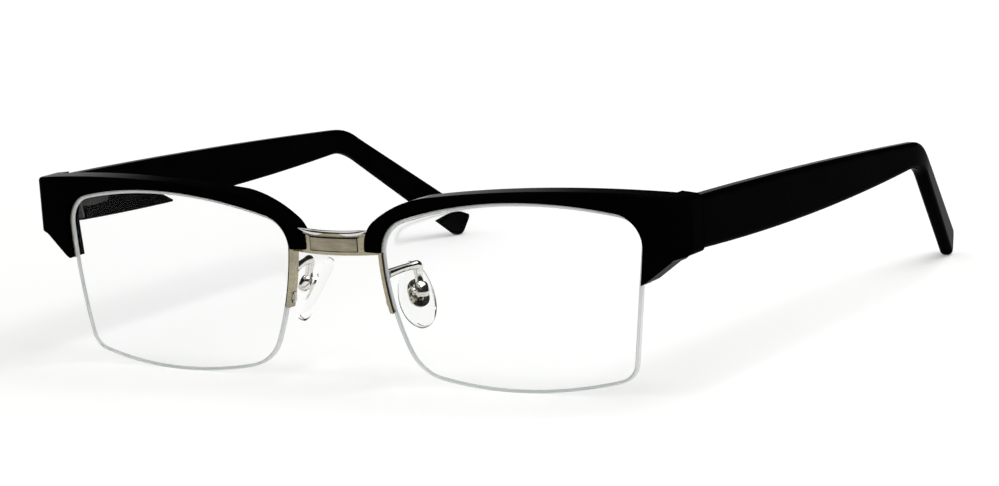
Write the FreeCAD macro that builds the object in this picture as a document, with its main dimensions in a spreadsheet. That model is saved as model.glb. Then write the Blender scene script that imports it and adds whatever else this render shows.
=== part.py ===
"""Half-rim browline glasses: acetate brows and temples on a metal bridge, with corded lenses.

Millimetres, +Z up. The front faces -Y, the temples run back along +Y, +X is the wearer's left.
The left pieces are drawn and the right ones are their mirror images.
"""
import FreeCAD, Part
import math
import os
from types import SimpleNamespace

from FreeCAD import Placement, Rotation, Vector

SIZES = {
    # lens: boxed size, gap between the two lenses, curve and edge
    "lens_width": 52.0,
    "lens_height": 34.2,
    "lens_gap": 21.1,
    "lens_thickness": 1.6,
    "base_radius": 140.0,
    "wrap_inset": 5.8,
    "tilt_rise": 3.5,
    # lens corners: how far each sharp corner lies from the corner of the box, and its rounding
    "nasal_top_flare": 0.3,
    "nasal_top_drop": 5.4,
    "nasal_top_round": 6.5,
    "temporal_top_flare": 0.8,
    "temporal_top_drop": 2.8,
    "temporal_top_round": 5.5,
    "temporal_low_inset": 2.8,
    "temporal_low_rise": 3.0,
    "temporal_low_round": 4.2,
    "nasal_low_inset": 6.0,
    "nasal_low_rise": 2.3,
    "nasal_low_round": 9.0,
    "lens_top_curve": 87.0,
    "lens_low_curve": 89.0,
    "lens_temporal_curve": 300.0,
    "lens_nasal_curve": 50.0,
    # groove round the lens edge, and what sits in it
    "groove_depth": 0.6,
    "groove_width": 0.6,
    "cord_recess": 0.05,
    "liner_width": 1.1,
    "rim_gap": 0.12,
    "rim_thickness": 0.8,
    "rim_width": 1.8,
    "rim_channel": 0.4,
    "rim_nasal_low": 13.2,
    "rim_temporal_low": 20.4,
    # brow: front outline, depth and edges
    "brow_nasal_overhang": 4.35,
    "brow_nasal_drop": 10.0,
    "brow_nasal_side": 3.8,
    "brow_nasal_depth": 1.7,
    "brow_nasal_round": 6.0,
    "brow_shoulder_inset": 9.95,
    "brow_shoulder_rise": 0.65,
    "brow_shoulder_curve": 27.8,
    "brow_top_curve": 210.0,
    "brow_end_rise": 1.3,
    "brow_end_drop": 8.7,
    "brow_wave_x": 2.6,
    "brow_wave_drop": 0.7,
    "brow_tip_inset": 7.8,
    "brow_tip_drop": 13.4,
    "brow_inner_inset": 6.0,
    "brow_inner_drop": 3.0,
    "brow_front_curve": 155.0,
    "brow_apex_inset": 4.55,
    "brow_front_lead": 0.7,
    "brow_depth": 5.0,
    "brow_lip": 0.6,
    "brow_bevel": 0.7,
    "brow_tip_round": 1.2,
    "end_overhang": 9.05,
    "end_corner_round": 3.0,
    "joint_gap": 0.15,
    # temple: side view and plan
    "temple_thickness": 3.7,
    "temple_top_step": 0.4,
    "temple_low_step": 0.2,
    "temple_top_curve": 2100.0,
    "temple_low_curve": 800.0,
    "bend_reach": 96.0,
    "bend_drop": 5.0,
    "bend_height": 4.6,
    "bend_low_lead": 1.0,
    "bend_inset": 1.2,
    "bend_round": 12.0,
    "tip_reach": 35.0,
    "tip_top": 5.5,
    "tip_heel": 3.6,
    "tip_thickness": 2.7,
    "tip_inset": 9.6,
    "tip_round": 1.9,
    "temple_edge_round": 1.1,
    "bend_low_round": 14.0,
    "plan_sweep": 40.0,
    "core_width": 1.2,
    # hinge between the brow and the temple
    "hinge_reach": 1.6,
    "knuckle_radius": 1.35,
    "knuckle_height": 2.3,
    "knuckle_gap": 0.1,
    "leaf_depth": 1.1,
    "leaf_overhang": 1.0,
    "leaf_clearance": 0.3,
    "leaf_start": 0.6,
    "temple_leaf_depth": 1.1,
    "leaf_rim_gap": 0.15,
    "leaf_proud": 0.42,
    "leaf_height": 6.6,
    "temple_leaf_length": 11.0,
    "temple_leaf_height": 4.6,
    "hinge_screw_radius": 0.7,
    "hinge_screw_head_radius": 1.15,
    "hinge_screw_head_height": 0.8,
    "running_gap": 0.05,
    "slot_width": 0.3,
    "slot_depth": 0.35,
    # brow screws
    "brow_screw_radius": 0.5,
    "brow_screw_head_radius": 0.85,
    "brow_screw_length": 2.4,
    "brow_screw_head_height": 0.6,
    # bridge
    "bridge_drop": 10.5,
    "bridge_height": 3.9,
    "bridge_thickness": 1.3,
    "bridge_end_y": 3.9,
    "bridge_bow": 2.6,
    "panel_width": 9.4,
    "panel_border": 0.75,
    "panel_depth": 0.4,
    "bead_radius": 0.55,
    # nose pads and their arms
    "arm_radius": 0.55,
    "arm_root_y": 3.2,
    "arm_root_drop": 13.0,
    "arm_knuckle_inset": 1.45,
    "arm_knuckle_y": 10.4,
    "arm_knuckle_drop": 13.2,
    "arm_knuckle_radius": 0.75,
    "box_inset": 2.25,
    "box_y": 9.8,
    "box_drop": 18.3,
    "box_size": 2.5,
    "box_wall": 0.5,
    "box_setback": 0.7,
    "pad_lean_x": 0.44,
    "pad_lean_y": 0.37,
    "pad_turn": 32.0,
    "pad_length": 13.4,
    "pad_width": 7.6,
    "pad_thickness": 2.6,
    "pad_edge_round": 1.1,
    "plate_length": 5.5,
    "plate_width": 4.0,
    "plate_thickness": 0.5,
    "plate_reach": 1.0,
    "pad_screw_radius": 0.35,
    "pad_screw_head_radius": 0.75,
    "pad_screw_head_height": 0.4,
}

doc = FreeCAD.newDocument("browline_glasses")
pieces = []


def make_sheet():
    """Put every driving size in a named cell and return the sheet."""
    sizes = doc.addObject("Spreadsheet::Sheet", "sizes")
    for row, (alias, number) in enumerate(SIZES.items(), start=1):
        sizes.set(f"A{row}", alias)
        sizes.set(f"B{row}", str(number))
        sizes.setAlias(f"B{row}", alias)
    doc.recompute()
    return sizes


sheet = make_sheet()
size = SimpleNamespace(**{alias: float(sheet.get(alias)) for alias in SIZES})

UP = Vector(0, 0, 1)
FORWARD = Vector(0, -1, 0)

nasal_edge = size.lens_gap / 2
lens_x = nasal_edge + size.lens_width / 2
lens_z = size.lens_height / 2
lens_top = size.lens_height
sphere_x = lens_x - size.wrap_inset
sphere_z = lens_z + size.tilt_rise
end_x = nasal_edge + size.lens_width + size.end_overhang
end_top = lens_top + size.brow_end_rise
end_low = lens_top - size.brow_end_drop
joint_top = end_top - size.temple_top_step
joint_low = end_low + size.temple_low_step
brow_nasal_x = nasal_edge - size.brow_nasal_overhang
bridge_low = lens_top - size.bridge_drop
hinge_x = end_x - size.temple_thickness - size.hinge_reach
hinge_z = (joint_top + joint_low) / 2
bridge_end = nasal_edge - size.rim_gap - size.rim_thickness / 2
bow_radius = (bridge_end ** 2 + size.bridge_bow ** 2) / (2 * size.bridge_bow)
bow_centre_y = size.bridge_end_y - size.bridge_bow + bow_radius


def brow_face_y(x, radius):
    """Where a face of the brow lies at a place across the frame, from its radius in plan."""
    centre_y = size.brow_front_curve - size.brow_front_lead
    return centre_y - math.sqrt(radius ** 2 - (x - lens_x + size.brow_apex_inset) ** 2)


def brow_front_y(x):
    """Where the brow's front face lies at a place across the frame."""
    return brow_face_y(x, size.brow_front_curve)


def brow_back_y(x):
    """Where the brow's back face lies at a place across the frame."""
    return brow_face_y(x, size.brow_front_curve - size.brow_depth)


def bow_y(x, radius):
    """Where a face of the bridge lies at a place across the frame, from its radius in plan."""
    return bow_centre_y - math.sqrt(radius ** 2 - x ** 2)


leaf_y = brow_back_y(hinge_x) + size.leaf_proud
hinge_y = leaf_y + size.knuckle_radius + size.leaf_clearance
bend_y = hinge_y + size.bend_reach
tip_y = bend_y + size.tip_reach


def named(expression):
    """Turn the size names in an expression into references to the sheet's cells."""
    words = expression.replace("(", " ( ").replace(")", " ) ").split()
    return " ".join(f"sizes.{word}" if word in SIZES else word for word in words)


def bind(thing, **properties):
    """Bind properties of a document object to the sheet."""
    for name, expression in properties.items():
        thing.setExpression(name, named(expression))


def cut(name, base, *tools):
    """Take the tools away from the base, one after another."""
    for number, tool in enumerate(tools):
        last = number == len(tools) - 1
        result = doc.addObject("Part::Cut", name if last else f"{name}_cut{number}")
        result.Base = base
        result.Tool = tool
        base = result
    return base


def common(name, base, tool):
    """Keep what two shapes share."""
    result = doc.addObject("Part::Common", name)
    result.Base = base
    result.Tool = tool
    return result


def fuse(name, *shapes):
    """Join shapes into one solid."""
    result = doc.addObject("Part::MultiFuse", name)
    result.Shapes = list(shapes)
    result.Refine = True
    return result


def box(name, corner, length, width, height, placement=None):
    """A block from its lowest corner, with its three sizes bound to the sheet."""
    block = doc.addObject("Part::Box", name)
    bind(block, Length=length, Width=width, Height=height)
    block.Placement = (placement or Placement()).multiply(Placement(Vector(*corner), Rotation()))
    return block


def rod(name, start, direction, radius, length):
    """A round bar from a point along a direction."""
    bar = doc.addObject("Part::Cylinder", name)
    bind(bar, Radius=radius, Height=length)
    bar.Placement = Placement(start, Rotation(Vector(0, 0, 1), direction))
    return bar


def ball(name, centre, radius):
    """A sphere with its radius bound to the sheet."""
    sphere = doc.addObject("Part::Sphere", name)
    bind(sphere, Radius=radius)
    sphere.Placement = Placement(centre, Rotation())
    return sphere


def edge_between(start, end, curve):
    """A straight edge, or an arc of a signed radius that turns left when it is positive."""
    if curve is None:
        return Part.LineSegment(start, end)
    chord = end - start
    left = Vector(-chord.y, chord.x, 0).normalize()
    reach = math.sqrt(curve * curve - chord.Length ** 2 / 4) - abs(curve)
    middle = (start + end) * 0.5 - left * math.copysign(1, curve) * -reach
    return Part.Arc(start, middle, end)


def outline_body(name, plane, corners, length, rounds=()):
    """A pad on both sides of an origin plane, from corners (x, y) or (x, y, curve to the next).

    rounds pairs a corner's number with the size that rounds it.
    """
    body = doc.addObject("PartDesign::Body", name)
    sketch = body.newObject("Sketcher::SketchObject", f"{name}_outline")
    support = next(item for item in body.Origin.OriginFeatures if item.Role == plane)
    sketch.AttachmentSupport = [(support, "")]
    sketch.MapMode = "FlatFace"
    points = [Vector(corner[0], corner[1], 0) for corner in corners]
    for number, corner in enumerate(corners):
        curve = corner[2] if len(corner) > 2 else None
        sketch.addGeometry(edge_between(points[number], points[(number + 1) % len(points)], curve))
    pad = body.newObject("PartDesign::Pad", f"{name}_pad")
    pad.Profile = sketch
    pad.Midplane = True
    bind(pad, Length=length)
    doc.recompute()
    for number, radius in rounds:
        round_corner(body, sketch, points[number], radius)
    return body


def round_corner(body, sketch, point, radius):
    """Round the edge that a corner of the outline leaves on the body."""
    base = body.Tip
    to_outline = sketch.Placement.inverse()

    def at_corner(edge):
        ends = [to_outline.multVec(vertex.Point) for vertex in edge.Vertexes]
        return all(math.hypot(end.x - point.x, end.y - point.y) < 1e-4 for end in ends)

    found = [f"Edge{number}" for number, edge in enumerate(base.Shape.Edges, start=1) if at_corner(edge)]
    fillet = body.newObject("PartDesign::Fillet", f"{body.Name}_round")
    fillet.Base = (base, found)
    bind(fillet, Radius=radius)
    doc.recompute()


def fillet_edges(name, base, chosen, radius):
    """Round the edges of a shape that a test picks."""
    doc.recompute()
    rounded = doc.addObject("Part::Fillet", name)
    rounded.Base = base
    rounded.Edges = [(number, radius, radius)
                     for number, edge in enumerate(base.Shape.Edges, start=1) if chosen(edge)]
    return rounded


def keep(name, thing):
    """Name a finished left or middle piece."""
    thing.Label = name
    pieces.append(thing)
    return thing


def mirrored(name, thing):
    """The mirror image of a left shape."""
    image = doc.addObject("Part::Mirroring", name)
    image.Source = thing
    image.Normal = Vector(1, 0, 0)
    return image


def keep_pair(name, left):
    """Name a left piece and mirror it for the right."""
    keep(f"{name}_left", left)
    keep(f"{name}_right", mirrored(f"{name}_mirror", left))
    return left


def arc_centre(start, end, radius):
    """Centre of the arc that bulges to the right of the way from start to end."""
    chord = end - start
    left = Vector(-chord.y, chord.x, 0).normalize()
    return (start + end) * 0.5 + left * math.sqrt(radius ** 2 - chord.Length ** 2 / 4)


def rounding_centre(first, second, corner, radius):
    """Centre of the small arc that touches two side arcs from inside, near their corner."""
    (centre_a, radius_a), (centre_b, radius_b) = first, second
    reach_a = radius_a - radius
    reach_b = radius_b - radius
    between = centre_b - centre_a
    along = (reach_a ** 2 - reach_b ** 2 + between.Length ** 2) / (2 * between.Length)
    aside = math.sqrt(reach_a ** 2 - along ** 2)
    ahead = Vector(between).normalize()
    beside = Vector(-ahead.y, ahead.x, 0)
    places = [centre_a + ahead * along + beside * way for way in (-aside, aside)]
    return min(places, key=lambda place: (place - corner).Length)


def lens_arcs():
    """The outline of one lens as arcs (centre, radius, first and last direction), seen from the front."""
    half_width = size.lens_width / 2
    half_height = size.lens_height / 2
    left, right = lens_x - half_width, lens_x + half_width
    low, high = lens_z - half_height, lens_z + half_height
    corners = [
        Vector(right + size.temporal_top_flare, high - size.temporal_top_drop, 0),
        Vector(left - size.nasal_top_flare, high - size.nasal_top_drop, 0),
        Vector(left + size.nasal_low_inset, low + size.nasal_low_rise, 0),
        Vector(right - size.temporal_low_inset, low + size.temporal_low_rise, 0),
    ]
    curves = [size.lens_top_curve, size.lens_nasal_curve, size.lens_low_curve, size.lens_temporal_curve]
    rounds = [size.temporal_top_round, size.nasal_top_round, size.nasal_low_round, size.temporal_low_round]
    sides = [(arc_centre(corners[number], corners[(number + 1) % 4], curve), curve)
             for number, curve in enumerate(curves)]
    small = [rounding_centre(sides[number - 1], sides[number], corners[number], rounds[number])
             for number in range(4)]

    def towards(centre, number):
        return (small[number % 4] - centre).normalize()

    arcs = []
    for number, (centre, radius) in enumerate(sides):
        before = sides[number - 1][0]
        arcs.append((small[number], rounds[number], towards(before, number), towards(centre, number)))
        arcs.append((centre, radius, towards(centre, number), towards(centre, number + 1)))
    return arcs


def grown_outline(name, offset):
    """The lens outline moved outwards: every arc keeps its centre and gains the offset."""
    edges = []
    for centre, radius, first, last in lens_arcs():
        ways = [first, (first + last).normalize(), last]
        points = [centre + way * (radius + offset) for way in ways]
        edges.append(Part.Arc(*[Vector(point.x, 0, point.y) for point in points]).toShape())
    wire = doc.addObject("Part::Feature", name)
    wire.Shape = Part.Wire(edges)
    return wire


def prism(name, offset):
    """The lens outline, grown by an offset, as a long bar through the lens."""
    bar = doc.addObject("Part::Extrusion", name)
    bar.Base = grown_outline(f"{name}_profile", offset)
    bar.DirMode = "Custom"
    bar.Dir = Vector(0, 1, 0)
    bar.Solid = True
    bind(bar, LengthFwd="base_radius / 4", LengthRev="base_radius / 10")
    return bar


def shell(name, front, back):
    """The space between two curves that share the lens's centre of curvature."""
    centre = Vector(sphere_x, size.base_radius, sphere_z)
    return cut(name, ball(f"{name}_front", centre, front), ball(f"{name}_back", centre, back))


def edge_plate(name, outer, width):
    """The grown lens outline as a curved plate, centred on the lens's thickness."""
    middle = "base_radius - lens_thickness / 2"
    space = shell(f"{name}_shell", f"{middle} + {width} / 2", f"{middle} - {width} / 2")
    return common(f"{name}_plate", prism(f"{name}_outer", outer), space)


def ring(name, outer, inner, width):
    """A band round the lens edge, centred on its thickness."""
    return cut(name, edge_plate(name, outer, width), prism(f"{name}_inner", inner))


def below_rim(name):
    """Blocks over the stretch of lens edge that the cord holds."""
    reach = size.base_radius
    nasal = box(f"{name}_nasal", (lens_x - reach, -reach, size.rim_nasal_low - reach),
                "base_radius", "2 * base_radius", "base_radius")
    temporal = box(f"{name}_temporal", (lens_x, -reach, size.rim_temporal_low - reach),
                   "base_radius", "2 * base_radius", "base_radius")
    return fuse(name, nasal, temporal)


def make_lens():
    """A curved lens with a groove round its edge."""
    blank = common("lens_curved", prism("lens_prism", 0),
                   shell("lens_shell", "base_radius", "base_radius - lens_thickness"))
    groove = ring("lens_groove", size.rim_gap, -size.groove_depth, "groove_width")
    return keep_pair("lens", cut("lens", blank, groove))


def make_rim():
    """The metal bar over the top of the lens, its liner, and the cord under the lens."""
    outer = size.rim_gap + size.rim_thickness
    channel = size.rim_gap + size.rim_channel
    bar = ring("rim_bar_full", outer, size.rim_gap, "rim_width")
    slot = ring("rim_slot", channel, 0, "liner_width")
    keep_pair("rim_bar", cut("rim_bar", bar, slot, below_rim("rim_below")))
    seat = ring("liner_seat", channel, size.rim_gap, "liner_width")
    tongue = ring("liner_tongue", size.rim_gap, -size.groove_depth, "groove_width")
    liner = fuse("liner_full", seat, tongue)
    keep_pair("rim_liner", cut("rim_liner", liner, below_rim("liner_below")))
    cord = ring("cord_full", -size.cord_recess, -size.groove_depth, "groove_width")
    keep_pair("rim_cord", common("rim_cord", cord, below_rim("cord_below")))


def brow_blank():
    """The brow before its cuts: its front outline crossed with its plan, with eased front edges."""
    nasal_low = lens_top - size.brow_nasal_drop
    shoulder_x = nasal_edge + size.brow_shoulder_inset
    shoulder_z = lens_top + size.brow_shoulder_rise
    tip_x = end_x - size.brow_tip_inset
    tip_z = lens_top - size.brow_tip_drop
    front_corners = [
        (brow_nasal_x, nasal_low),
        (nasal_edge + size.brow_inner_inset, nasal_low),
        (lens_x, lens_z),
        (tip_x - size.brow_inner_inset, tip_z - size.brow_inner_drop),
        (tip_x, tip_z),
        (end_x - size.brow_wave_x, end_low - size.brow_wave_drop),
        (end_x, end_low),
        (end_x, end_top, size.brow_top_curve),
        (shoulder_x, shoulder_z, size.brow_shoulder_curve),
        (brow_nasal_x, nasal_low + size.brow_nasal_side),
    ]
    front_rounds = [(4, "brow_tip_round"), (5, "end_corner_round"), (6, "temple_edge_round"),
                    (7, "temple_edge_round"), (9, "brow_nasal_round")]
    front = outline_body("brow_front", "XZ_Plane", front_corners, "base_radius", front_rounds)
    step_x = end_x - size.temple_thickness - size.joint_gap
    plan_corners = [
        (brow_nasal_x, brow_front_y(brow_nasal_x), size.brow_front_curve),
        (end_x, brow_front_y(end_x)),
        (end_x, hinge_y),
        (step_x, hinge_y),
        (step_x, brow_back_y(step_x), size.brow_depth - size.brow_front_curve),
        (shoulder_x, brow_back_y(shoulder_x)),
        (brow_nasal_x, brow_front_y(brow_nasal_x) + size.brow_nasal_depth),
    ]
    plan = outline_body("brow_plan", "XY_Plane", plan_corners, "base_radius", [(1, "end_corner_round")])
    blank = common("brow_crossed", front, plan)

    def on_front_rim(edge):
        middle = edge.valueAt((edge.FirstParameter + edge.LastParameter) / 2)
        ends = [vertex.Point for vertex in edge.Vertexes]
        flush = all(abs(point.y - brow_front_y(point.x)) < 0.01 for point in [middle] + ends)
        on_top = middle.z > shoulder_z - size.brow_bevel
        return flush and (on_top or middle.x < (brow_nasal_x + shoulder_x) / 2)

    return fillet_edges("brow_blank", blank, on_front_rim, size.brow_bevel)


def screw(name, seat, direction, kind, length):
    """A slotted screw of one kind: its seat is under the head, its shank runs along the direction."""
    head_radius = f"{kind}_screw_head_radius"
    head_height = f"{kind}_screw_head_height"
    top = seat - direction * getattr(size, head_height)
    shank = rod(f"{name}_shank", seat, direction, f"{kind}_screw_radius", length)
    head = rod(f"{name}_head", top, direction, head_radius, head_height)
    slot_corner = (-getattr(size, head_radius), -size.slot_width / 2, -size.slot_depth)
    slot = box(f"{name}_slot", slot_corner, f"2 * {head_radius}", "slot_width", "2 * slot_depth",
               Placement(top, Rotation(UP, direction)))
    return cut(name, fuse(f"{name}_solid", shank, head), slot)


def make_bridge():
    """The bowed metal bridge between the rim bars, with a framed panel and a bead along its top."""
    middle_z = bridge_low + size.bridge_height / 2

    def band(name, half_width, front, back, height):
        corners = [(-half_width, bow_y(half_width, front), front), (half_width, bow_y(half_width, front)),
                   (half_width, bow_y(half_width, back), -back), (-half_width, bow_y(half_width, back))]
        body = outline_body(name, "XY_Plane", corners, height)
        body.Placement = Placement(Vector(0, 0, middle_z), Rotation())
        return body

    front = bow_radius + size.bridge_thickness / 2
    bar = band("bridge_bar", bridge_end, front, front - size.bridge_thickness, "bridge_height")
    panel = band("bridge_panel", size.panel_width / 2, front + size.panel_depth, front - size.panel_depth,
                 "bridge_height - 2 * panel_border")
    bead = doc.addObject("Part::Torus", "bridge_bead_ring")
    bead.Radius1 = front - size.bead_radius / 2
    bind(bead, Radius2="bead_radius")
    bead.Placement = Placement(Vector(0, bow_centre_y, bridge_low + size.bridge_height), Rotation())
    span = box("bridge_span", (-bridge_end, bow_centre_y - 2 * front, bridge_low),
               "lens_gap - 2 * rim_gap - rim_thickness", f"{2 * front}", "2 * bridge_height")
    whole = fuse("bridge_full", cut("bridge_framed", bar, panel), common("bridge_bead", bead, span))
    rim_space = prism("bridge_rim_space", size.rim_gap + size.rim_thickness)
    return cut("bridge_fitted", whole, rim_space, mirrored("bridge_rim_mirror", rim_space))


def make_front_hinge(plate_x, plate_width):
    """The front leaf with its two outer knuckles, and the plate that is let into the brow."""
    low_z = hinge_z - 1.5 * size.knuckle_height - size.knuckle_gap
    plate_corner = (plate_x, leaf_y - size.leaf_depth, hinge_z - size.leaf_height / 2)
    plate = box("front_leaf_plate", plate_corner, f"{plate_width}", "leaf_depth", "leaf_height")
    solids = [plate]
    for name, offset in (("low", 0), ("high", 2 * (size.knuckle_height + size.knuckle_gap))):
        start = Vector(hinge_x, hinge_y, low_z + offset)
        web_corner = (hinge_x - size.knuckle_radius, leaf_y, low_z + offset)
        solids.append(rod(f"front_knuckle_{name}", start, UP, "knuckle_radius", "knuckle_height"))
        solids.append(box(f"front_web_{name}", web_corner, "2 * knuckle_radius",
                          "knuckle_radius + leaf_clearance", "knuckle_height"))
    bore_start = Vector(hinge_x, hinge_y, low_z - size.knuckle_gap)
    bore = rod("front_bore", bore_start, UP, "hinge_screw_radius", "4 * knuckle_height")
    return plate, cut("hinge_front_full", fuse("hinge_front_leaf", *solids), bore)


def make_temple_hinge():
    """The temple leaf with the middle knuckle, before and after its bore."""
    knuckle_low = hinge_z - size.knuckle_height / 2
    plate_y = hinge_y + size.leaf_start
    plate_x = end_x - size.temple_thickness - size.joint_gap
    plate = box("temple_leaf_plate", (plate_x, plate_y, hinge_z - size.temple_leaf_height / 2),
                "temple_leaf_depth", "temple_leaf_length", "temple_leaf_height")
    knuckle = rod("temple_knuckle", Vector(hinge_x, hinge_y, knuckle_low), UP,
                  "knuckle_radius", "knuckle_height")
    web = box("temple_web", (hinge_x, plate_y, knuckle_low),
              "hinge_reach + temple_leaf_depth / 2", "knuckle_radius", "knuckle_height")
    leaf = fuse("hinge_temple_leaf", plate, knuckle, web)
    bore_start = Vector(hinge_x, hinge_y, knuckle_low - size.knuckle_height)
    bore = rod("temple_bore", bore_start, UP, "hinge_screw_radius + running_gap", "3 * knuckle_height")
    return leaf, cut("hinge_temple_full", leaf, bore)


def make_temple(leaf, floor_z):
    """An acetate temple: its side view crossed with its plan, and the wire core inside it."""
    start_y = hinge_y + size.joint_gap
    bend_top = lens_top - size.bend_drop
    bend_low = bend_top - size.bend_height
    bend_low_y = bend_y - size.bend_low_lead
    heel_y = tip_y - size.tip_heel
    drop = math.atan2(bend_low - floor_z, heel_y - bend_low_y)
    rise = math.atan2(size.tip_top, size.tip_heel)
    heel_half = (math.pi - drop - rise) / 2
    heel_z = floor_z - size.tip_round * (1 / math.sin(heel_half) - 1)
    side_corners = [
        (start_y, joint_low, size.temple_low_curve),
        (bend_low_y, bend_low),
        (heel_y, heel_z),
        (tip_y, heel_z + size.tip_top),
        (bend_y, bend_top, size.temple_top_curve),
        (start_y, joint_top),
    ]
    side_rounds = [(1, "bend_low_round"), (4, "bend_round"), (2, "tip_round"), (3, "tip_round")]
    side = outline_body("temple_side", "YZ_Plane", side_corners, "3 * base_radius", side_rounds)
    bend_x = end_x - size.bend_inset
    tip_x = bend_x - size.tip_inset
    neck = (size.temple_thickness + size.tip_thickness) / 2
    plan_corners = [
        (end_x, start_y),
        (bend_x, bend_y),
        (tip_x, tip_y),
        (tip_x - size.tip_thickness, tip_y),
        (bend_x - neck, bend_y),
        (end_x - size.temple_thickness, start_y),
    ]
    plan_rounds = [(1, "plan_sweep"), (4, "plan_sweep")]
    plan = outline_body("temple_plan", "XY_Plane", plan_corners, "3 * base_radius", plan_rounds)

    def behind_joint(edge):
        return max(vertex.Point.y for vertex in edge.Vertexes) > start_y + 0.01

    eased = fillet_edges("temple_blank", common("temple_crossed", side, plan), behind_joint,
                         size.temple_edge_round)
    joint_middle = Vector(end_x - size.temple_thickness / 2, start_y, hinge_z)
    bend_middle = Vector(bend_x - neck / 2, bend_y, (bend_top + bend_low) / 2)
    tip_middle = Vector(tip_x - size.tip_thickness / 2, tip_y, heel_z + size.tip_round)
    core_path = [
        point_at(joint_middle, bend_middle, hinge_y + size.leaf_start + size.temple_leaf_length),
        bend_middle,
        point_at(bend_middle, tip_middle, heel_y - size.tip_round),
    ]
    core = keep_pair("core_wire", make_core(core_path))
    return keep_pair("temple", cut("temple", eased, leaf, core))


def point_at(start, end, y):
    """The point of a straight line at a place along the temple."""
    return start + (end - start) * ((y - start.y) / (end.y - start.y))


def make_core(path):
    """A square wire through points, from its side view and its plan."""
    half = size.core_width / 2
    back = path[::-1]
    side = [(point.y, point.z - half) for point in path] + [(point.y, point.z + half) for point in back]
    plan = [(point.x + half, point.y) for point in path] + [(point.x - half, point.y) for point in back]
    return common("core_wire", outline_body("core_side", "YZ_Plane", side, "3 * base_radius"),
                  outline_body("core_plan", "XY_Plane", plan, "3 * base_radius"))


def pad_frame():
    """Axes of a nose pad: x into the nose, y along its screw, z up its length."""
    up = Vector(-size.pad_lean_x, size.pad_lean_y, 1).normalize()
    turn = math.radians(size.pad_turn)
    inward = Vector(-math.cos(turn), math.sin(turn), 0)
    inward = (inward - up * inward.dot(up)).normalize()
    centre = Vector(nasal_edge + size.box_inset, size.box_y, lens_top - size.box_drop)
    return Placement(centre, Rotation(inward, up.cross(inward), up, "ZXY"))


def oval(name, frame, depth, length, width):
    """A flat plate with round ends, standing off a pad's screw."""
    half_width = getattr(size, width) / 2
    reach = getattr(size, length) / 2 - half_width
    inward = frame.Rotation.multVec(Vector(1, 0, 0))
    solids = [box(f"{name}_middle", (size.plate_reach, -half_width, -reach),
                  depth, width, f"{length} - {width}", frame)]
    for end in (-reach, reach):
        centre = frame.multVec(Vector(size.plate_reach, 0, end))
        solids.append(rod(f"{name}_end", centre, inward, f"{width} / 2", depth))
    return fuse(name, *solids)


def make_pad_arm(frame):
    """The box that holds the pad, and the wire from the rim bar to it."""
    half = size.box_size / 2
    dome_x = -size.box_setback / 2
    across = frame.Rotation.multVec(Vector(0, 1, 0))
    block = box("box_block", (-half, -half, -half), "box_size - box_setback", "box_size", "box_size", frame)
    dome = ball("box_dome", frame.multVec(Vector(dome_x, 0, half)), "( box_size - box_setback ) / 2")
    slot_corner = (size.box_wall - half, size.box_wall - half, -half)
    slot = box("box_slot", slot_corner, "box_size", "box_size - 2 * box_wall", "box_size", frame)
    bore_start = frame.multVec(Vector(0, -size.box_size, 0))
    bore = rod("box_bore", bore_start, across, "pad_screw_radius", "2 * box_size")
    pad_box = keep_pair("pad_box", cut("pad_box", fuse("box_full", block, dome), slot, bore))
    knuckle = Vector(nasal_edge + size.arm_knuckle_inset, size.arm_knuckle_y,
                     lens_top - size.arm_knuckle_drop)
    root = Vector(nasal_edge - size.rim_gap, size.arm_root_y, lens_top - size.arm_root_drop)
    foot = frame.multVec(Vector(dome_x, 0, half + size.arm_radius / 2))
    wires = [ball("arm_knuckle", knuckle, "arm_knuckle_radius")]
    for name, point in (("root", root), ("foot", foot)):
        reach = knuckle - point
        wires.append(rod(f"arm_{name}", point, reach, "arm_radius", f"{reach.Length}"))
    rim_space = edge_plate("arm_rim", size.rim_gap + size.rim_thickness, "rim_width")
    keep_pair("pad_arm", cut("pad_arm", fuse("arm_full", *wires), pad_box, rim_space))


def make_pad(frame):
    """The clear pad, its metal plate with the lug in the box, and the screw that it rocks on."""
    half = size.box_size / 2
    inward = frame.Rotation.multVec(Vector(1, 0, 0))
    across = frame.Rotation.multVec(Vector(0, 1, 0))
    plate = oval("plate_oval", frame, "plate_thickness", "plate_length", "plate_width")
    lug_half = half - size.box_wall - size.knuckle_gap
    lug_width = "( box_size - 2 * box_wall - 2 * knuckle_gap )"
    lug = rod("lug_round", frame.multVec(Vector(0, -lug_half, 0)), across, f"{lug_width} / 2", lug_width)
    neck = box("lug_neck", (0, -lug_half, -lug_half), "plate_reach", lug_width, lug_width, frame)
    bore_start = frame.multVec(Vector(0, -half, 0))
    bore = rod("lug_bore", bore_start, across, "pad_screw_radius + running_gap", "box_size")
    keep_pair("pad_plate", cut("pad_plate", fuse("plate_full", plate, lug, neck), bore))

    def on_rim(edge):
        ends = [vertex.Point for vertex in edge.Vertexes]
        return len(ends) < 2 or abs((ends[1] - ends[0]).dot(inward)) < 0.01

    blank = oval("pad_blank", frame, "pad_thickness", "pad_length", "pad_width")
    eased = fillet_edges("pad_eased", blank, on_rim, size.pad_edge_round)
    keep_pair("nose_pad", cut("nose_pad", eased, plate))
    seat = frame.multVec(Vector(0, half, 0))
    keep_pair("pad_screw", screw("pad_screw", seat, -across, "pad", "box_size"))


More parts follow.
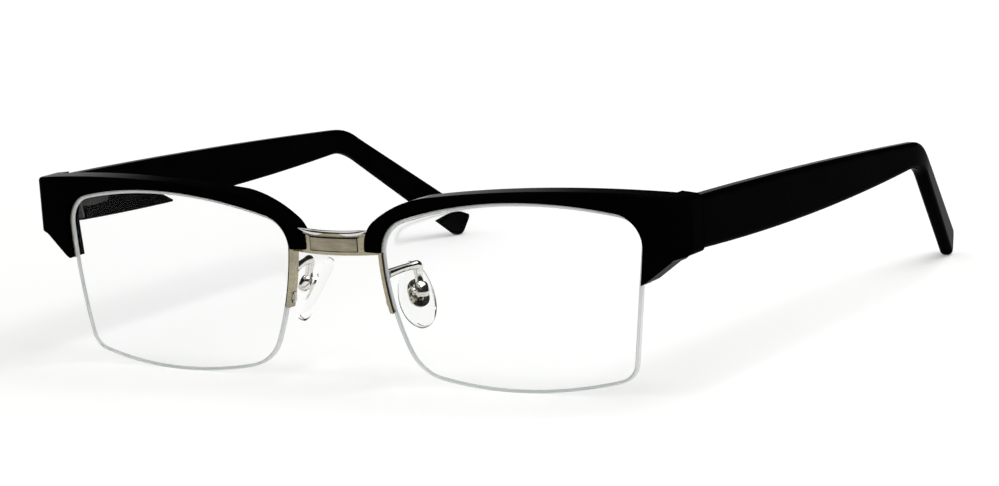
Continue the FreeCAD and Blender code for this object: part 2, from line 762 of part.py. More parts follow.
def make_front():
    """Brows, bridge, rims, lenses and the front halves of the hinges."""
    make_lens()
    make_rim()
    bridge = make_bridge()
    rim_edge = nasal_edge + size.lens_width + size.temporal_top_flare + size.rim_gap + size.rim_thickness
    plate_x = rim_edge + size.leaf_rim_gap
    plate_width = hinge_x + size.leaf_overhang - plate_x
    leaf_plate, leaf = make_front_hinge(plate_x, plate_width)
    leaf_seat = Vector(plate_x + plate_width / 2, leaf_y - size.brow_screw_head_height, hinge_z)
    leaf_screw = screw("leaf_screw", leaf_seat, FORWARD, "brow", "brow_screw_length")
    tab_x = (brow_nasal_x + nasal_edge - size.rim_thickness) / 2
    tab_y = bow_y(tab_x, bow_radius - size.bridge_thickness / 2) - size.brow_screw_head_height
    tab_seat = Vector(tab_x, tab_y, bridge_low + size.bridge_height / 2)
    tab_screw = screw("tab_screw", tab_seat, FORWARD, "brow", "bridge_thickness")
    keep_pair("hinge_front", cut("hinge_front", leaf, leaf_screw))
    keep_pair("leaf_screw", leaf_screw)
    keep_pair("tab_screw", tab_screw)
    keep("bridge", cut("bridge", bridge, tab_screw, mirrored("tab_screw_tool", tab_screw)))
    lens_space = prism("brow_lens_space", size.brow_lip)
    channel = ring("brow_channel", size.rim_gap + size.rim_thickness, 0, "rim_width")
    brow = cut("brow", brow_blank(), lens_space, channel, bridge, leaf_plate, leaf_screw, tab_screw)
    keep_pair("brow", brow)


def make_temples():
    """Temples with their cores, hinge leaves and hinge screws."""
    leaf, bored_leaf = make_temple_hinge()
    keep_pair("hinge_temple", bored_leaf)
    seat = Vector(hinge_x, hinge_y, hinge_z + 1.5 * size.knuckle_height + size.knuckle_gap)
    hinge_screw = screw("hinge_screw", seat, -UP, "hinge", "3 * knuckle_height + 3 * knuckle_gap")
    keep_pair("hinge_screw", hinge_screw)
    make_temple(leaf, grown_outline("lens_outline", 0).Shape.BoundBox.ZMin)


def check_and_write():
    """Stand the glasses on their middle, check every object and write the pieces."""
    doc.recompute()
    failed = [item.Name for item in doc.Objects if {"Invalid", "Error"} & set(item.State)]
    failed += [item.Label for item in pieces if item.Shape.isNull() or not item.Shape.isValid()]
    if failed:
        raise RuntimeError(f"failed: {failed}")
    whole = FreeCAD.BoundBox()
    for item in pieces:
        whole.add(item.Shape.optimalBoundingBox(False, False))
    move = Vector(-whole.Center.x, -whole.Center.y, -whole.ZMin)
    os.makedirs("parts", exist_ok=True)
    for item in pieces:
        item.Placement = Placement(move, Rotation()).multiply(item.Placement)
        item.Shape.exportStep(os.path.join("parts", f"{item.Label}.step"))
        print(item.Label, len(item.Shape.Solids), round(item.Shape.Volume, 2))
    frame = pad_frame()
    print("moved by", move, "overall", whole.XLength, whole.YLength, whole.ZLength)
    print("hinge at", Vector(hinge_x, hinge_y, hinge_z) + move)
    print("pad screw at", frame.Base + move, "along", frame.Rotation.multVec(Vector(0, 1, 0)))


make_front()
make_pad_arm(pad_frame())
make_pad(pad_frame())
make_temples()
check_and_write()
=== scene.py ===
"""Looks of the half-rim browline glasses: finishes, lenses, nylon and wire work, stage and camera.

Lengths are millimetres in the drawing's frame: +Z up, the front towards -Y, +X the wearer's left.
Side.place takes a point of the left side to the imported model, which is in metres.
"""
import logging
import math
from dataclasses import dataclass
from enum import Enum, IntEnum
from typing import Iterable, Sequence

import bmesh
import bpy
from mathutils import Matrix, Quaternion, Vector

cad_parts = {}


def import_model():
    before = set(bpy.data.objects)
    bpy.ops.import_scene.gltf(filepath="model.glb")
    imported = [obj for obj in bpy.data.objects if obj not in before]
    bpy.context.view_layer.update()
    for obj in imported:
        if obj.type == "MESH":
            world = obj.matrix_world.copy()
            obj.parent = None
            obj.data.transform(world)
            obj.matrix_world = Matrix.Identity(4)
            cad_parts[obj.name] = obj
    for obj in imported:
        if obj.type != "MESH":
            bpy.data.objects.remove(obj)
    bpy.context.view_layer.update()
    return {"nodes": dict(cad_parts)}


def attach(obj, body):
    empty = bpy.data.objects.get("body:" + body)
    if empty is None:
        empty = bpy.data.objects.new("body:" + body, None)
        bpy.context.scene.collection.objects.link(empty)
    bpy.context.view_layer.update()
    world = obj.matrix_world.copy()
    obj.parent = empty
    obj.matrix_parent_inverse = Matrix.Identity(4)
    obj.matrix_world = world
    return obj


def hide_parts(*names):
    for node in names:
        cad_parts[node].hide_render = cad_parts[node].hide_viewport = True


LOG = logging.getLogger("browline_glasses")
MM = 0.001
# The drawing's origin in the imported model, in millimetres.
ROW_SHIFT = Vector((0.0, -69.974, 0.034))
FRONT = "front"
SPLINE_ORDER = 3
WIRE_SIDES = 20
STUD_SIDES = 24
WHITE = (1.0, 1.0, 1.0, 1.0)
Colour = tuple[float, float, float]
Point = tuple[float, float, float]
Profile = tuple[tuple[float, float], ...]
Arc = tuple[Vector, float, float, float]
Faces = list[Sequence[int]]


class Side(Enum):
    """The wearer's two sides, each with the sign of its X."""

    LEFT = 1
    RIGHT = -1

    @property
    def word(self) -> str:
        """The side's word in the names of pieces."""
        return self.name.lower()

    def place(self, point: Sequence[float]) -> Vector:
        """A point of the left side's drawing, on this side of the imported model."""
        return (self.turn(point) + ROW_SHIFT) * MM

    def turn(self, direction: Sequence[float]) -> Vector:
        """A direction of the left side's drawing, on this side."""
        return Vector((self.value * direction[0], direction[1], direction[2]))


class Slot(Enum):
    """Material slots of the record."""

    ACETATE = "acetate"
    NICKEL = "satin_nickel"
    POLISHED = "polished_metal"
    STEEL = "hinge_steel"
    LENS = "lens"
    NYLON = "nylon"
    PAD = "pad_clear"


class LensFace(IntEnum):
    """The finish numbers of a lens's faces."""

    CLEAR = 0
    EDGE = 1
    # Edge faces painted dark: painted shade of the rim bar's nasal channel.
    SEAT_SHADE = 2


class Tree:
    """A small helper that adds nodes to a tree and joins them."""

    def __init__(self, tree: bpy.types.NodeTree) -> None:
        """Keep the node tree to fill."""
        self.tree = tree

    def add(self, kind: str, inputs: dict | None = None, **settings: object) -> bpy.types.Node:
        """Add a node, set its properties, and set or join its inputs.

        Args:
            kind: The node's type.
            inputs: Input name or number to a value or to a socket of another node.
            settings: Properties of the node.

        Returns:
            The new node.
        """
        node = self.tree.nodes.new(kind)
        for name, value in settings.items():
            setattr(node, name, value)
        for name, value in (inputs or {}).items():
            if isinstance(value, bpy.types.NodeSocket):
                self.tree.links.new(value, node.inputs[name])
            else:
                node.inputs[name].default_value = value
        return node

    def math(self, operation: str, *values: object) -> bpy.types.NodeSocket:
        """The result of a Math node on numbers and sockets."""
        return self.add("ShaderNodeMath", dict(enumerate(values)), operation=operation).outputs[0]

    def tone(self, share: bpy.types.NodeSocket, first: object, second: object) -> bpy.types.NodeSocket:
        """The colour between two at the share that a socket gives."""
        mixed = self.add("ShaderNodeMix", {"Factor": share, "A": first, "B": second}, data_type="RGBA")
        return mixed.outputs["Result"]

    def ranged(self, value: bpy.types.NodeSocket, given: Sequence = (0.0, 1.0),
               wanted: Sequence = (0.0, 1.0), curve: str = "LINEAR") -> bpy.types.NodeSocket:
        """Map a value from one range to another, and hold it there.

        Args:
            value: The value.
            given: The two ends of its own range.
            wanted: The two ends of the range that it is mapped to.
            curve: The node's way from one end to the other.

        Returns:
            The mapped value.
        """
        mapped = self.add("ShaderNodeMapRange", {
            "Value": value, "From Min": given[0], "From Max": given[1], "To Min": wanted[0],
            "To Max": wanted[1]}, interpolation_type=curve)
        return mapped.outputs[0]


def emptied(holder: bpy.types.Material | bpy.types.World) -> Tree:
    """Turn the nodes of a material or world on, and clear them.

    Args:
        holder: The material or world.

    Returns:
        Its empty tree.
    """
    holder.use_nodes = True
    holder.node_tree.nodes.clear()
    return Tree(holder.node_tree)


def new_group(name: str, kind: str, inputs: Iterable[tuple], outputs: Iterable[tuple]) -> Tree:
    """Start a node group with named sockets.

    Args:
        name: The group's name.
        kind: The type of its tree.
        inputs: Name, socket type and default of each input; the default may be left out.
        outputs: Name and socket type of each output.

    Returns:
        The group's tree, still without nodes.
    """
    group = bpy.data.node_groups.new(name, kind)
    for label, socket_type, *default in inputs:
        socket = group.interface.new_socket(label, in_out="INPUT", socket_type=f"NodeSocket{socket_type}")
        if default:
            socket.default_value = default[0]
    for label, socket_type in outputs:
        group.interface.new_socket(label, in_out="OUTPUT", socket_type=f"NodeSocket{socket_type}")
    return Tree(group)


@dataclass(frozen=True)
class HandlingMarks:
    """Shared effect: the faint smudges and hair lines that handling leaves on a polished face."""

    smudge_size: float = 90.0
    smudge_detail: float = 4.0
    smudge_range: tuple[float, float] = (0.42, 0.7)
    line_size: float = 700.0
    line_detail: float = 2.0
    line_turn: Point = (0.5, 0.3, 0.9)
    line_stretch: Point = (1.0, 0.06, 0.35)

    def build(self) -> bpy.types.NodeTree:
        """Make the group.

        Returns:
            A group that gives a roughness, a mask of the smudges and a height of the hair lines.
        """
        made = new_group("handling_marks", "ShaderNodeTree",
                         [("Smudge Size", "Float", self.smudge_size),
                          ("Line Size", "Float", self.line_size),
                          ("Clean Roughness", "Float"), ("Dull Roughness", "Float")],
                         [("Roughness", "Float"), ("Smudge", "Float"), ("Height", "Float")])
        given = made.add("NodeGroupInput").outputs
        place = made.add("ShaderNodeTexCoord").outputs["Object"]
        smudge = made.add("ShaderNodeTexNoise", {"Vector": place, "Scale": given["Smudge Size"],
                                                 "Detail": self.smudge_detail})
        soft = made.ranged(smudge.outputs[0], self.smudge_range)
        turned = made.add("ShaderNodeMapping", {"Vector": place, "Rotation": self.line_turn,
                                                "Scale": self.line_stretch})
        lines = made.add("ShaderNodeTexNoise", {"Vector": turned.outputs[0], "Scale": given["Line Size"],
                                                "Detail": self.line_detail})
        rough = made.ranged(soft, wanted=(given["Clean Roughness"], given["Dull Roughness"]))
        made.add("NodeGroupOutput", {"Roughness": rough, "Smudge": soft, "Height": lines.outputs[0]})
        return made.tree


@dataclass(frozen=True)
class SatinGrain:
    """Shared effect: the fine short grain of a satin-brushed metal."""

    fineness: float = 3000.0
    detail: float = 3.0
    stretch: Point = (0.12, 0.5, 1.0)
    cloud_size: float = 260.0
    light_range: tuple[float, float] = (0.12, 0.4)

    def build(self) -> bpy.types.NodeTree:
        """Make the group.

        Returns:
            A group that gives two mixed tones, a roughness and a height.
        """
        made = new_group("satin_grain", "ShaderNodeTree",
                         [("Light Tone", "Color"), ("Dark Tone", "Color"),
                          ("Fineness", "Float", self.fineness), ("Roughness", "Float"), ("Spread", "Float")],
                         [("Color", "Color"), ("Roughness", "Float"), ("Height", "Float")])
        given = made.add("NodeGroupInput").outputs
        place = made.add("ShaderNodeTexCoord").outputs["Object"]
        drawn = made.add("ShaderNodeMapping", {"Vector": place, "Scale": self.stretch})
        grain = made.add("ShaderNodeTexNoise", {"Vector": drawn.outputs[0], "Scale": given["Fineness"],
                                                "Detail": self.detail})
        cloud = made.add("ShaderNodeTexNoise", {"Vector": place, "Scale": self.cloud_size})
        light = made.ranged(made.math("MULTIPLY", grain.outputs[0], cloud.outputs[0]), self.light_range)
        tone = made.tone(light, given["Dark Tone"], given["Light Tone"])
        rough = made.math("MULTIPLY_ADD", light, given["Spread"], given["Roughness"])
        made.add("NodeGroupOutput", {"Color": tone, "Roughness": rough, "Height": grain.outputs[0]})
        return made.tree


@dataclass(frozen=True)
class Finish:
    """What every finish has: a name, its slot of the record, and a material around its shader."""

    name: str
    slot: Slot

    def build(self, effect: bpy.types.NodeTree) -> bpy.types.Material:
        """Make the material.

        Args:
            effect: The group of the shared effect that this finish has.

        Returns:
            The material.
        """
        material = bpy.data.materials.new(self.name)
        tree = emptied(material)
        tree.add("ShaderNodeOutputMaterial", {0: self.shade(tree, effect)})
        return material

    def shade(self, tree: Tree, effect: bpy.types.NodeTree) -> bpy.types.NodeSocket:
        """Each kind of finish adds its own nodes and returns its shader."""
        raise NotImplementedError


@dataclass(frozen=True)
class Acetate(Finish):
    """Polished black acetate with a trace of depth in its colour."""

    deep: Colour
    light: Colour
    clean: float
    dull: float
    gloss: float
    line_strength: float = 0.005
    line_depth: float = 0.0002

    def shade(self, tree: Tree, effect: bpy.types.NodeTree) -> bpy.types.NodeSocket:
        """Add the nodes of the acetate.

        Args:
            tree: The material's tree.
            effect: The group of handling marks.

        Returns:
            The shader.
        """
        worn = tree.add("ShaderNodeGroup", {"Clean Roughness": self.clean, "Dull Roughness": self.dull},
                        node_tree=effect)
        tone = tree.tone(worn.outputs["Smudge"], (*self.deep, 1), (*self.light, 1))
        bump = tree.add("ShaderNodeBump", {
            "Height": worn.outputs["Height"], "Strength": self.line_strength, "Distance": self.line_depth})
        shader = tree.add("ShaderNodeBsdfPrincipled", {
            "Base Color": tone, "Roughness": worn.outputs["Roughness"], "Specular IOR Level": self.gloss,
            "Normal": bump.outputs[0]})
        return shader.outputs[0]


@dataclass(frozen=True)
class Metal(Finish):
    """A bare metal with a fine grain."""

    light: Colour
    dark: Colour
    roughness: float
    spread: float
    bump: float
    grain_depth: float = 0.0001

    def shade(self, tree: Tree, effect: bpy.types.NodeTree) -> bpy.types.NodeSocket:
        """Add the nodes of the metal.

        Args:
            tree: The material's tree.
            effect: The group of satin grain.

        Returns:
            The shader.
        """
        drawn = tree.add("ShaderNodeGroup", {
            "Light Tone": (*self.light, 1), "Dark Tone": (*self.dark, 1), "Roughness": self.roughness,
            "Spread": self.spread}, node_tree=effect)
        bump = tree.add("ShaderNodeBump", {
            "Height": drawn.outputs["Height"], "Strength": self.bump, "Distance": self.grain_depth})
        shader = tree.add("ShaderNodeBsdfPrincipled", {
            "Base Color": drawn.outputs["Color"], "Roughness": drawn.outputs["Roughness"], "Metallic": 1.0,
            "Normal": bump.outputs[0]})
        return shader.outputs[0]


@dataclass(frozen=True)
class Clear(Finish):
    """A see-through or frosted material that lets light through to the floor."""

    tint: Colour
    haze: Colour
    ior: float
    clean: float
    dull: float
    through: float = 1.0
    mirror: float = 1.0
    smudge_size: float = 60.0

    def shade(self, tree: Tree, effect: bpy.types.NodeTree) -> bpy.types.NodeSocket:
        """Add the nodes of the clear material.

        Args:
            tree: The material's tree.
            effect: The group of handling marks.

        Returns:
            The shader.
        """
        worn = tree.add("ShaderNodeGroup", {
            "Smudge Size": self.smudge_size, "Clean Roughness": self.clean, "Dull Roughness": self.dull},
            node_tree=effect)
        tone = tree.tone(worn.outputs["Smudge"], (*self.tint, 1), (*self.haze, 1))
        shader = tree.add("ShaderNodeBsdfPrincipled", {
            "Base Color": tone, "Roughness": worn.outputs["Roughness"], "IOR": self.ior,
            "Transmission Weight": self.through,
            "Specular Tint": (self.mirror, self.mirror, self.mirror, 1)})
        open_way = tree.add("ShaderNodeBsdfTransparent", {"Color": (*self.tint, 1)})
        path = tree.add("ShaderNodeLightPath")
        mixed = tree.add("ShaderNodeMixShader", {0: path.outputs["Is Shadow Ray"], 1: shader.outputs[0],
                                                 2: open_way.outputs[0]})
        return mixed.outputs[0]


ACETATE = Acetate("black_acetate", Slot.ACETATE, (0.0006, 0.0006, 0.0007), (0.0012, 0.0012, 0.0013),
                  clean=0.1, dull=0.17, gloss=0.001)
NICKEL = Metal("satin_nickel_silver", Slot.NICKEL, (0.4, 0.36, 0.255), (0.27, 0.243, 0.172),
               roughness=0.22, spread=0.1, bump=0.08)
DARK_NICKEL = Metal("brushed_panel", Slot.NICKEL, (0.33, 0.297, 0.215), (0.2, 0.18, 0.13),
                    roughness=0.3, spread=0.1, bump=0.1)
CHROME = Metal("polished_wire", Slot.POLISHED, (0.74, 0.73, 0.7), (0.62, 0.61, 0.58),
               roughness=0.05, spread=0.05, bump=0.01)
PLATED = Metal("polished_pad_plate", Slot.NICKEL, (0.68, 0.66, 0.61), (0.56, 0.54, 0.5),
               roughness=0.06, spread=0.06, bump=0.02)
STEEL = Metal("machined_steel", Slot.STEEL, (0.42, 0.41, 0.395), (0.33, 0.322, 0.31),
              roughness=0.24, spread=0.1, bump=0.04)
GUNMETAL = Metal("blackened_hinge", Slot.STEEL, (0.03, 0.029, 0.028), (0.018, 0.0175, 0.017),
                 roughness=0.28, spread=0.1, bump=0.04)
# Painted shade: a near-black finish for the shade in the drilled cord holes, in the groove under the
# bridge's bead and behind the bridge's panel.
SHADE_BLACK = Metal("painted_shade_black", Slot.NICKEL, (0.02, 0.018, 0.015), (0.01, 0.009, 0.008),
              roughness=0.45, spread=0.2, bump=0.1)
# The lens's low index and weak mirror stand for a coat that takes its reflections away.
LENS = Clear("clear_lens", Slot.LENS, (0.985, 0.992, 0.99), (0.975, 0.985, 0.98),
             ior=1.12, clean=0.0, dull=0.006, mirror=0.3)
LENS_EDGE = Clear("ground_lens_edge", Slot.LENS, (0.9, 0.92, 0.92), (0.82, 0.84, 0.84),
                  ior=1.5, clean=0.4, dull=0.6, through=0.35)
# Painted shade: the lens edge in the rim bar's nasal channel is painted near black for the shade there.
SHADED_SEAT_EDGE = Clear("seat_painted_shade", Slot.LENS, (0.05, 0.045, 0.036), (0.03, 0.027, 0.021),
                    ior=1.0, clean=0.4, dull=0.6, through=0.0)
NYLON = Clear("clear_nylon", Slot.NYLON, (0.84, 0.86, 0.85), (0.76, 0.78, 0.77),
              ior=1.5, clean=0.25, dull=0.4, through=0.1)
PAD = Clear("clear_pad", Slot.PAD, (0.97, 0.975, 0.965), (0.93, 0.935, 0.92),
            ior=1.14, clean=0.01, dull=0.04)
FINISHES = (ACETATE, NICKEL, DARK_NICKEL, CHROME, PLATED, STEEL, GUNMETAL, SHADE_BLACK, LENS, LENS_EDGE,
            SHADED_SEAT_EDGE, NYLON, PAD)


class Dresser:
    """Holds the built materials and puts them on pieces."""

    def __init__(self) -> None:
        """Build the shared groups and every material."""
        marks = HandlingMarks().build()
        grain = SatinGrain().build()
        self.materials = {finish: finish.build(grain if isinstance(finish, Metal) else marks)
                          for finish in FINISHES}

    def dress(self, piece: bpy.types.Object, *finishes: Finish) -> None:
        """Give a piece its finishes, in the order of its faces' numbers.

        Args:
            piece: The piece.
            finishes: The finishes.
        """
        # Clearing sets every face's number back to 0, so a new mesh without materials isn't cleared.
        if len(piece.data.materials):
            piece.data.materials.clear()
        for finish in finishes:
            piece.data.materials.append(self.materials[finish])
        LOG.info("%s in %s", piece.name, finishes[0].name)

    def add(self, piece: bpy.types.Object, body: str, *finishes: Finish,
            replaced: Sequence[str] = ()) -> None:
        """Dress a new piece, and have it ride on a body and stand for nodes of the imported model.

        Args:
            piece: The piece.
            body: The body that it rides on.
            finishes: Its finishes.
            replaced: The nodes that it stands for.
        """
        self.dress(piece, *finishes)
        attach(piece, body)
        if replaced:
            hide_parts(*replaced)


def linked(name: str, data: bpy.types.ID) -> bpy.types.Object:
    """Make an object and link it into the scene.

    Args:
        name: Its name.
        data: Its mesh, curve, lamp or camera.

    Returns:
        The object.
    """
    made = bpy.data.objects.new(name, data)
    bpy.context.scene.collection.objects.link(made)
    return made


def plain_mesh(holder: bpy.types.Object) -> bpy.types.Mesh:
    """The mesh of an object with its modifiers worked out."""
    graph = bpy.context.evaluated_depsgraph_get()
    return bpy.data.meshes.new_from_object(holder.evaluated_get(graph), depsgraph=graph)


def closed_piece(name: str, points: Sequence[Vector], faces: Faces, sharp_angle: float,
                 numbers: Sequence[int] = ()) -> bpy.types.Object:
    """Make a piece from a closed surface, with its faces turned outwards.

    Args:
        name: The piece's name.
        points: Its corners, in metres.
        faces: Corner numbers of each face.
        sharp_angle: Edges that turn by more than this many degrees stay sharp.
        numbers: The finish number of each face; all are 0 where it is empty.

    Returns:
        The piece, linked into the scene.
    """
    mesh = bpy.data.meshes.new(name)
    mesh.from_pydata(points, [], faces)
    for face, number in zip(mesh.polygons, numbers):
        face.material_index = number
    shape = bmesh.new()
    shape.from_mesh(mesh)
    bmesh.ops.recalc_face_normals(shape, faces=shape.faces)
    shape.to_mesh(mesh)
    shape.free()
    mesh.shade_smooth()
    mesh.set_sharp_from_angle(angle=math.radians(sharp_angle))
    return linked(name, mesh)


def stitched(rows: int, count: int) -> Faces:
    """Faces between closed rows of corners.

    Args:
        rows: How many rows there are.
        count: How many corners each row has.

    Returns:
        The corner numbers of the faces.
    """
    faces: Faces = []
    for start in range(0, (rows - 1) * count, count):
        for number in range(count):
            after = (number + 1) % count
            faces.append((start + number, start + after, start + count + after, start + count + number))
    return faces


def barred(rows: int, count: int) -> Faces:
    """Faces of a bar: those between its closed rows of corners, and its two ends."""
    last = (rows - 1) * count
    return [*stitched(rows, count), tuple(range(count)), tuple(range(last, last + count))]


def capped(points: list[Vector], count: int, first: Vector, last: Vector) -> Faces:
    """Faces of closed rows of corners, with a corner in the middle of the first and of the last row.

    Args:
        points: The corners, row after row; the two middle corners are added to it.
        count: How many corners each row has.
        first: The middle of the first row.
        last: The middle of the last row.

    Returns:
        The corner numbers of the faces.
    """
    rows = len(points) // count
    faces = stitched(rows, count)
    for middle, start in ((first, 0), (last, (rows - 1) * count)):
        centre = len(points)
        points.append(middle)
        faces += [(start + number, start + (number + 1) % count, centre) for number in range(count)]
    return faces


def end_tree(made: Tree, shape: bpy.types.NodeSocket, finish: bpy.types.NodeSocket, output: str) -> None:
    """End a Geometry Nodes tree: its instances are made real and get their material.

    Args:
        made: The tree.
        shape: The geometry.
        finish: The material.
        output: The name of the tree's output.
    """
    real = made.add("GeometryNodeRealizeInstances", {0: shape})
    dressed = made.add("GeometryNodeSetMaterial", {"Geometry": real.outputs[0], "Material": finish})
    made.add("NodeGroupOutput", {output: dressed.outputs[0]})


def grown_piece(name: str, start: bpy.types.ID, tree: bpy.types.NodeTree,
                values: dict[str, object]) -> bpy.types.Object:
    """Run a Geometry Nodes tree on a curve or mesh and keep the result as a plain mesh.

    Args:
        name: The piece's name.
        start: The curve or mesh that the tree works on.
        tree: The tree.
        values: Input name to value.

    Returns:
        The piece, linked into the scene.
    """
    holder = linked(start.name, start)
    modifier = holder.modifiers.new(tree.name, "NODES")
    modifier.node_group = tree
    named = {item.name: item.identifier for item in tree.interface.items_tree if item.in_out == "INPUT"}
    for label, value in values.items():
        modifier[named[label]] = value
    mesh = plain_mesh(holder)
    holder.modifiers.remove(modifier)
    bpy.data.objects.remove(holder)
    mesh.name = name
    return linked(name, mesh)


class WireMaker:
    """A Geometry Nodes tree that draws a round wire along a path, as thick as each point of it says."""

    def __init__(self, dresser: Dresser) -> None:
        """Build the tree.

        Args:
            dresser: The built materials.
        """
        self.dresser = dresser
        made = new_group("drawn_wire", "GeometryNodeTree",
                         [("Path", "Geometry"), ("Radius", "Float"), ("Steps", "Int"),
                          ("Sides", "Int", WIRE_SIDES), ("Finish", "Material")], [("Wire", "Geometry")])
        given = made.add("NodeGroupInput").outputs
        even = made.add("GeometryNodeResampleCurve", {"Curve": given["Path"], "Count": given["Steps"]})
        thickness = made.add("GeometryNodeInputRadius")
        profile = made.add("GeometryNodeCurvePrimitiveCircle", {"Resolution": given["Sides"],
                                                                "Radius": given["Radius"]})
        swept = made.add("GeometryNodeCurveToMesh", {
            "Curve": even.outputs[0], "Profile Curve": profile.outputs[0], "Scale": thickness.outputs[0],
            "Fill Caps": True})
        smooth = made.add("GeometryNodeSetShadeSmooth", {0: swept.outputs[0]})
        end_tree(made, smooth.outputs[0], given["Finish"], "Wire")
        self.tree = made.tree

    def draw(self, name: str, points: Sequence[Vector], radius: float, finish: Finish, steps: int,
             scales: Sequence[float] = (), replaced: Sequence[str] = ()) -> None:
        """Draw a wire as a plain mesh that rides on the front.

        Args:
            name: The piece's name.
            points: The control points of its path, in metres.
            radius: Its radius.
            finish: Its finish.
            steps: How many rows of corners it has.
            scales: The share of the radius at each control point; 1 everywhere where it is empty.
            replaced: The nodes that it stands for.
        """
        curve = bpy.data.curves.new(f"{name}_path", "CURVE")
        curve.dimensions = "3D"
        spline = curve.splines.new("NURBS")
        spline.points.add(len(points) - 1)
        for number, point in enumerate(points):
            spline.points[number].co = (*point, 1)
            spline.points[number].radius = scales[number] if scales else 1.0
        spline.order_u = SPLINE_ORDER
        spline.use_endpoint_u = True
        values = {"Radius": radius * MM, "Steps": steps, "Finish": self.dresser.materials[finish]}
        self.dresser.add(grown_piece(name, curve, self.tree, values), FRONT, finish, replaced=replaced)


class StudMaker:
    """A Geometry Nodes tree that puts a short round stud on every point, in the direction kept there."""

    def __init__(self, dresser: Dresser) -> None:
        """Build the tree.

        Args:
            dresser: The built materials.
        """
        self.dresser = dresser
        made = new_group("round_studs", "GeometryNodeTree",
                         [("Points", "Geometry"), ("Radius", "Float"), ("Depth", "Float"),
                          ("Sides", "Int", STUD_SIDES), ("Finish", "Material")], [("Studs", "Geometry")])
        given = made.add("NodeGroupInput").outputs
        facing = made.add("GeometryNodeInputNamedAttribute", {"Name": "facing"}, data_type="FLOAT_VECTOR")
        turned = made.add("FunctionNodeAlignRotationToVector", {"Vector": facing.outputs[0]}, axis="Z")
        stud = made.add("GeometryNodeMeshCylinder", {"Vertices": given["Sides"], "Radius": given["Radius"],
                                                     "Depth": given["Depth"]})
        placed = made.add("GeometryNodeInstanceOnPoints", {
            "Points": given["Points"], "Instance": stud.outputs[0], "Rotation": turned.outputs[0]})
        end_tree(made, placed.outputs[0], given["Finish"], "Studs")
        self.tree = made.tree

    def place(self, name: str, points: Sequence[Vector], facing: Sequence[Vector], radius: float,
              depth: float, finish: Finish) -> None:
        """Put a stud on every point, as one plain mesh that rides on the front.

        Args:
            name: The piece's name.
            points: The studs' middles, in metres.
            facing: The direction of each stud.
            radius: Their radius.
            depth: Their height.
            finish: Their finish.
        """
        mesh = bpy.data.meshes.new(f"{name}_points")
        mesh.from_pydata(points, [], [])
        ways = mesh.attributes.new("facing", "FLOAT_VECTOR", "POINT")
        for number, way in enumerate(facing):
            ways.data[number].vector = way
        values = {"Radius": radius * MM, "Depth": depth * MM, "Finish": self.dresser.materials[finish]}
        self.dresser.add(grown_piece(name, mesh, self.tree, values), FRONT, finish)


